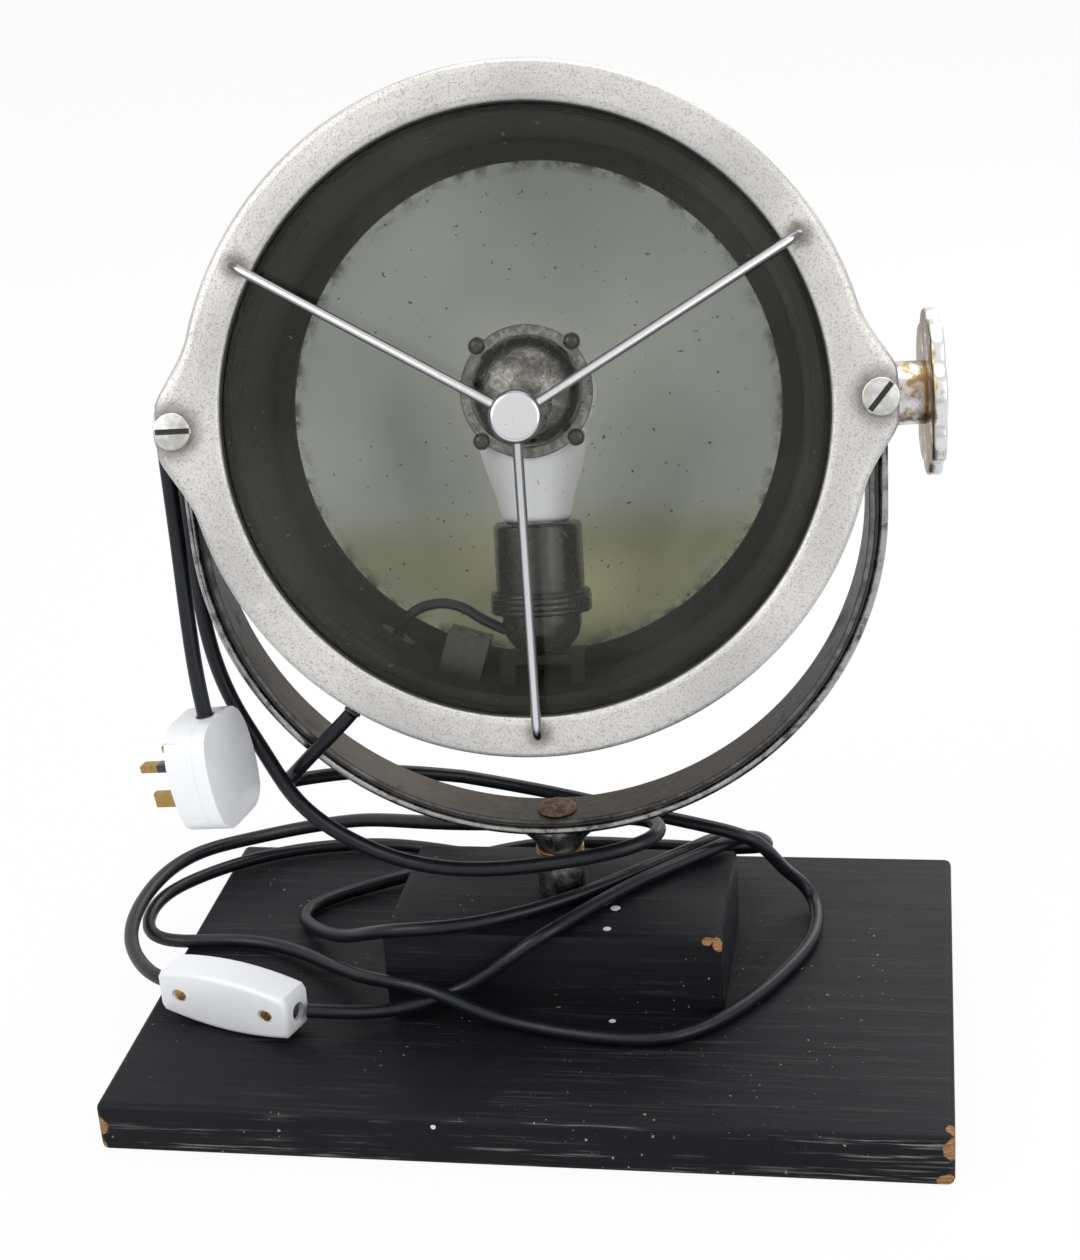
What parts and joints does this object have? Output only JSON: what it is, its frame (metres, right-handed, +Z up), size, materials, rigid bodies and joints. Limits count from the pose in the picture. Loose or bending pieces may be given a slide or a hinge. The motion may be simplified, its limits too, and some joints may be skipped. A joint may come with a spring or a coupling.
{
  "type": "searchlight lamp",
  "caption": "Tabletop searchlight lamp: a drum head with mirror, glass and guard on a steel yoke over a wooden base, with switch and plug.",
  "frame": {"origin": "centre of the base board's underside", "axes": "+Z up, the lamp faces -Y"},
  "size_m": [0.4347, 0.2565, 0.4801],
  "materials": {
    "painted_wood": "worn matt paint",
    "yoke_steel": "worn satin grey",
    "bare_steel": "satin",
    "rivet": "rusty",
    "black_sheet": "satin",
    "cast_alloy": "speckled satin",
    "chrome": "polished",
    "worn_chrome": "worn through to brass",
    "glass": "clear",
    "mirror": "polished",
    "black_rubber": "matt",
    "black_plastic": "satin",
    "grey_metal": "satin",
    "opal": "satin white",
    "white_plastic": "gloss white",
    "brass": "dull",
    "black_flex": "satin"
  },
  "bodies": {
    "base": {"base_board": "painted_wood", "riser_block": "painted_wood", "riser_screws": "bare_steel", "pivot_post": "yoke_steel", "post_nut": "bare_steel", "thrust_washer": "brass", "lamp_lead": "black_flex", "flex_floor": "black_flex", "switch_back": "white_plastic", "switch_cover": "white_plastic", "rocker_pin": "bare_steel", "switch_screws": "brass", "switch_contacts": "brass"},
    "yoke": {"yoke_arm": "yoke_steel", "pivot_spigot": "rivet", "lamp_lead_drop": "black_flex", "flex_drop": "black_flex", "plug_base": "white_plastic", "plug_cover": "white_plastic", "plug_live_pins": "brass", "plug_earth_pin": "brass", "plug_fuse": "white_plastic", "plug_screw": "bare_steel"},
    "head": {"drum_shell": "black_sheet", "drum_back": "black_sheet", "back_stud": "bare_steel", "front_bezel": "cast_alloy", "lug_screws": "bare_steel", "glass_gasket": "black_rubber", "front_glass": "glass", "glass_retainer": "black_sheet", "reflector": "mirror", "mirror_retainer": "black_sheet", "guard_rods": "chrome", "guard_boss": "chrome", "glare_cap": "grey_metal", "cap_posts": "black_plastic", "cap_screws": "black_plastic", "lamp_bracket": "black_sheet", "lampholder_cup": "black_plastic", "lampholder_sleeve": "black_plastic", "lampholder_ring": "black_plastic", "bulb_globe": "opal", "bulb_housing": "opal", "bulb_screw_cap": "cast_alloy", "terminal_block": "black_plastic", "inner_lead": "black_flex", "trunnion_left": "yoke_steel", "trunnion_right": "yoke_steel", "saddle_nut": "bare_steel", "cable_gland": "black_plastic", "strain_relief": "black_rubber"},
    "wheel": {"clamp_wheel": "worn_chrome"},
    "rocker": {"switch_rocker": "white_plastic"}
  },
  "joints": [
    {"name": "pan", "type": "hinge", "parent": "base", "child": "yoke", "pos_m": [0.006, 0.012, 0.09], "axis": [0, 0, 1], "range_deg": [-60, 60]},
    {"name": "tilt", "type": "hinge", "parent": "yoke", "child": "head", "pos_m": [0.006, 0.012, 0.32], "axis": [-0.9936, -0.1132, 0], "range_deg": [-30, 64]},
    {"name": "clamp", "type": "hinge", "parent": "head", "child": "wheel", "pos_m": [0.18484, 0.03238, 0.32], "axis": [0.9936, 0.1132, 0], "range_deg": [-180, 180]},
    {"name": "rocker", "type": "hinge", "parent": "base", "child": "rocker", "pos_m": [-0.14902, -0.04576, 0.041], "axis": [0, 0, 1], "range_deg": [-18, 0]}
  ]
}
